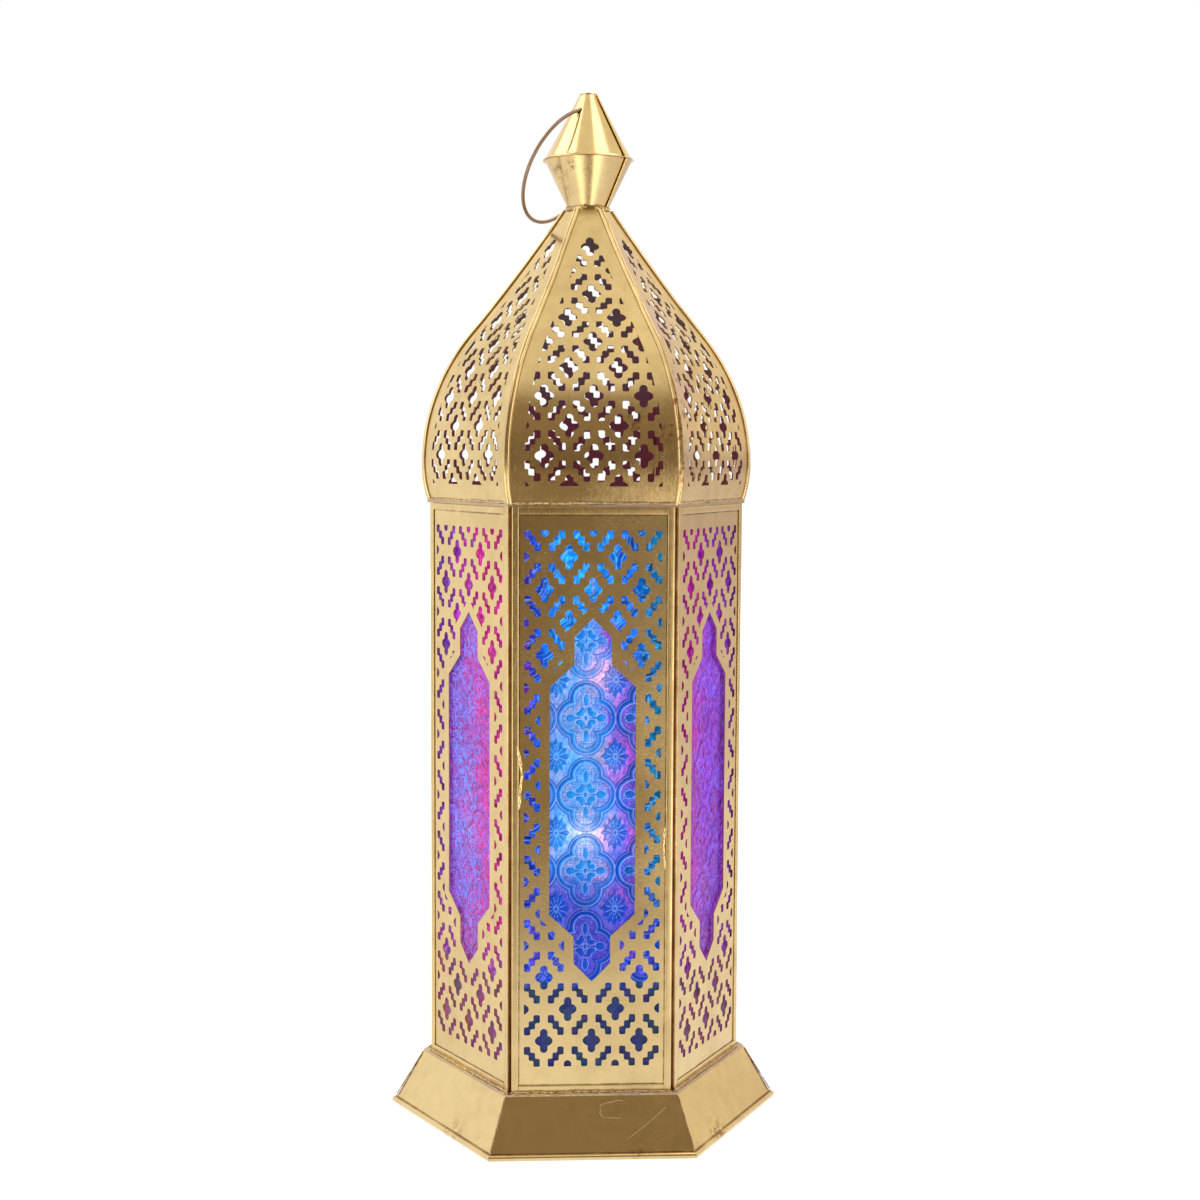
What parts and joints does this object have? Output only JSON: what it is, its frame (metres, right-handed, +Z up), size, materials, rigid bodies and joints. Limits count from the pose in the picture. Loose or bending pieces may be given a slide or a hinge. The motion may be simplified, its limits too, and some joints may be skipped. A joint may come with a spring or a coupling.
{
  "type": "lantern",
  "caption": "Standing hexagonal brass lantern: pierced panels over dyed embossed glass, pierced onion dome, cone finial with a swinging ring, and a hinged rear door to a battery candle.",
  "frame": {"origin": "middle of the base, on the surface that the lantern stands on", "axes": "+Z up along the lantern's axis; the front panel faces -Y; two corners lie on the X axis"},
  "size_m": [0.1938, 0.1678, 0.5],
  "materials": {
    "base_brass": "polished sheet, lightly scratched",
    "bar_brass": "polished channel",
    "grille_brass": "polished pierced sheet",
    "dome_brass": "polished pierced sheet, a little tarnished",
    "strip_brass": "dull sheet",
    "finial_brass": "bright polished",
    "ring_wire": "browned wire",
    "fitting_brass": "polished",
    "glass_front": "embossed, dyed",
    "glass_front_right": "embossed, dyed",
    "glass_rear_right": "embossed, dyed",
    "glass_rear": "embossed, dyed",
    "glass_rear_left": "embossed, dyed",
    "glass_front_left": "embossed, dyed",
    "candle_shell": "waxy ivory",
    "candle_glow": "lit diffuser"
  },
  "bodies": {
    "lantern": {"skirt_front": "base_brass", "petal_front": "dome_brass", "skirt_front_right": "base_brass", "petal_front_right": "dome_brass", "skirt_rear_right": "base_brass", "petal_rear_right": "dome_brass", "skirt_rear": "base_brass", "petal_rear": "dome_brass", "skirt_rear_left": "base_brass", "petal_rear_left": "dome_brass", "skirt_front_left": "base_brass", "petal_front_left": "dome_brass", "frame_front": "bar_brass", "grille_front": "grille_brass", "glass_front": "glass_front", "frame_front_right": "bar_brass", "grille_front_right": "grille_brass", "glass_front_right": "glass_front_right", "frame_rear_right": "bar_brass", "grille_rear_right": "grille_brass", "glass_rear_right": "glass_rear_right", "frame_rear_left": "bar_brass", "grille_rear_left": "grille_brass", "glass_rear_left": "glass_rear_left", "frame_front_left": "bar_brass", "grille_front_left": "grille_brass", "glass_front_left": "glass_front_left", "corner_strip_front_right": "strip_brass", "rib_front_right": "dome_brass", "corner_strip_right": "strip_brass", "rib_right": "dome_brass", "corner_strip_rear_right": "strip_brass", "rib_rear_right": "dome_brass", "corner_strip_rear_left": "strip_brass", "rib_rear_left": "dome_brass", "corner_strip_left": "strip_brass", "rib_left": "dome_brass", "corner_strip_front_left": "strip_brass", "rib_front_left": "dome_brass", "floor_plate": "base_brass", "ring_plate": "bar_brass", "glass_clips": "strip_brass", "neck_disc": "finial_brass", "finial_lower_cone": "finial_brass", "finial_upper_cone": "finial_brass", "finial_cap": "finial_brass", "hinge_frame_leaves": "fitting_brass", "hinge_pins": "fitting_brass", "catch_leaf": "fitting_brass", "candle_cup": "base_brass"},
    "door": {"door_frame": "bar_brass", "door_grille": "grille_brass", "door_glass": "glass_rear", "door_glass_clips": "strip_brass", "hinge_door_leaves": "fitting_brass", "door_knob": "fitting_brass"},
    "ring": {"hanging_ring": "ring_wire"},
    "candle": {"candle_body": "candle_shell", "candle_flame": "candle_glow"}
  },
  "joints": [
    {"name": "door_hinge", "type": "hinge", "parent": "lantern", "child": "door", "pos_m": [-0.03981, 0.06896, 0.1644], "axis": [0, 0, 1], "range_deg": [0, 135]},
    {"name": "ring_swing", "type": "hinge", "parent": "lantern", "child": "ring", "pos_m": [0, 0, 0.4912], "axis": [0.5373, 0.8434, 0], "range_deg": [-11, 312]},
    {"name": "candle_lift", "type": "slide", "parent": "lantern", "child": "candle", "axis": [0, 0, 1], "range_m": [0, 0.02]}
  ]
}
